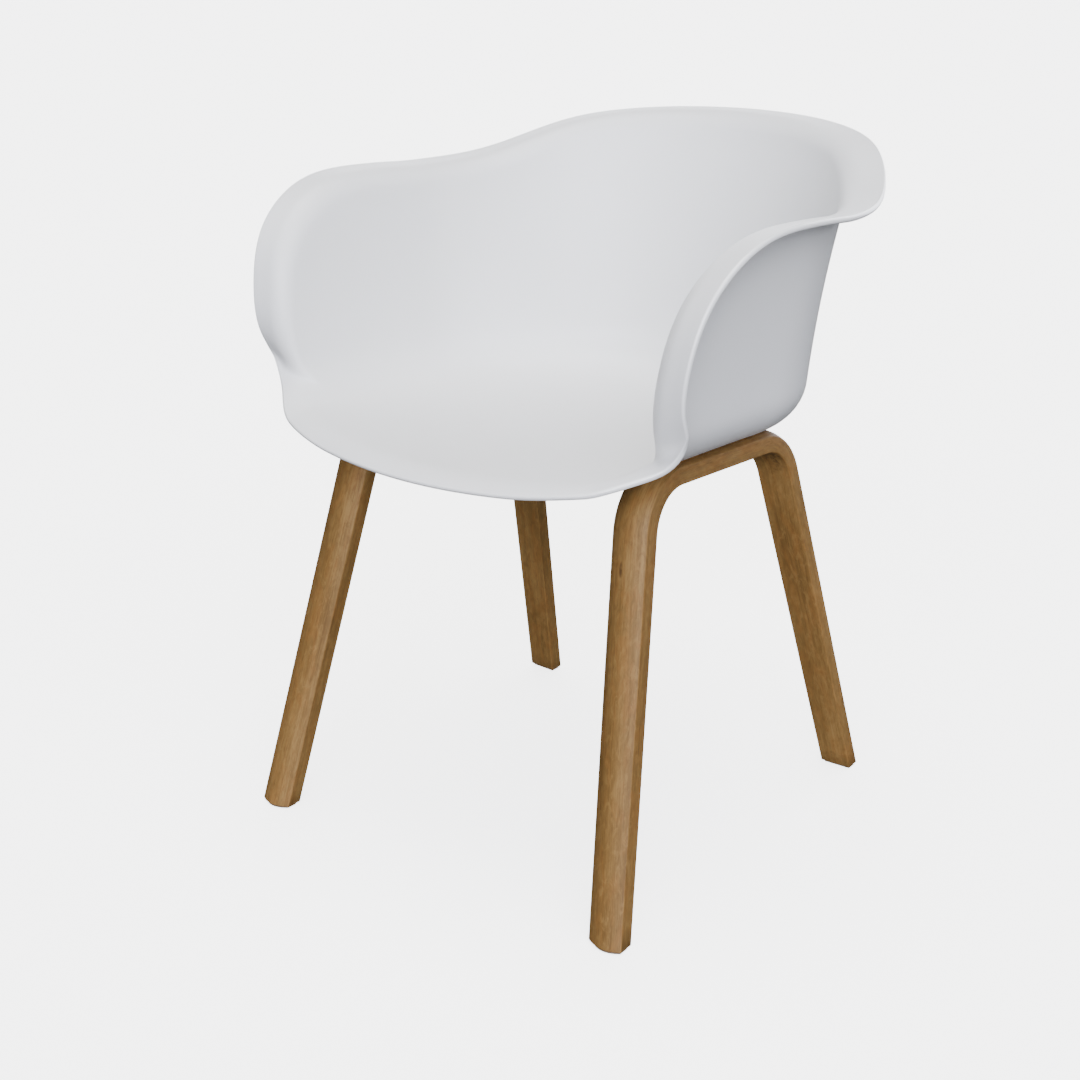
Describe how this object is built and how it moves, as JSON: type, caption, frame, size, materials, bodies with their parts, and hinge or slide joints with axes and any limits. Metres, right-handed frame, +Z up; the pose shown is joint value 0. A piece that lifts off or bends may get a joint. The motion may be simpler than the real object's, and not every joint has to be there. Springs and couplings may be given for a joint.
{
  "type": "dining armchair",
  "caption": "Dining armchair with a one-piece moulded bucket shell, its rim rolled outwards, on two bent laminated-wood leg frames joined by hidden steel cross rails.",
  "frame": {"origin": "on the floor, at the middle of the chair's outline in plan", "axes": "+X to the sitter's left, +Y to the back of the chair (the sitter faces -Y), +Z up"},
  "size_m": [0.583, 0.6205, 0.7432],
  "materials": {
    "shell_plastic": "satin, fine moulded grain, off-white polypropylene",
    "bent_wood": "clear satin lacquer over laminated mid-brown wood",
    "black_steel": "black powder coat on pressed sheet",
    "glide_nylon": "plain moulded nylon, brown to match the wood",
    "bumper_rubber": "soft black rubber",
    "insert_brass": "plain turned brass",
    "zinc_steel": "bright zinc plate"
  },
  "bodies": {
    "root": {"seat_shell": "shell_plastic", "left_leg_frame": "bent_wood", "right_leg_frame": "bent_wood", "front_cross_rail": "black_steel", "rear_cross_rail": "black_steel", "front_left_glide": "glide_nylon", "front_right_glide": "glide_nylon", "rear_left_glide": "glide_nylon", "rear_right_glide": "glide_nylon", "front_left_bumper": "bumper_rubber", "front_right_bumper": "bumper_rubber", "rear_left_bumper": "bumper_rubber", "rear_right_bumper": "bumper_rubber", "shell_inserts": "insert_brass", "shell_screws": "zinc_steel", "shell_washers": "zinc_steel", "rail_inserts": "insert_brass", "frame_bolts": "zinc_steel", "frame_washers": "zinc_steel", "glide_screws": "zinc_steel"}
  },
  "joints": []
}
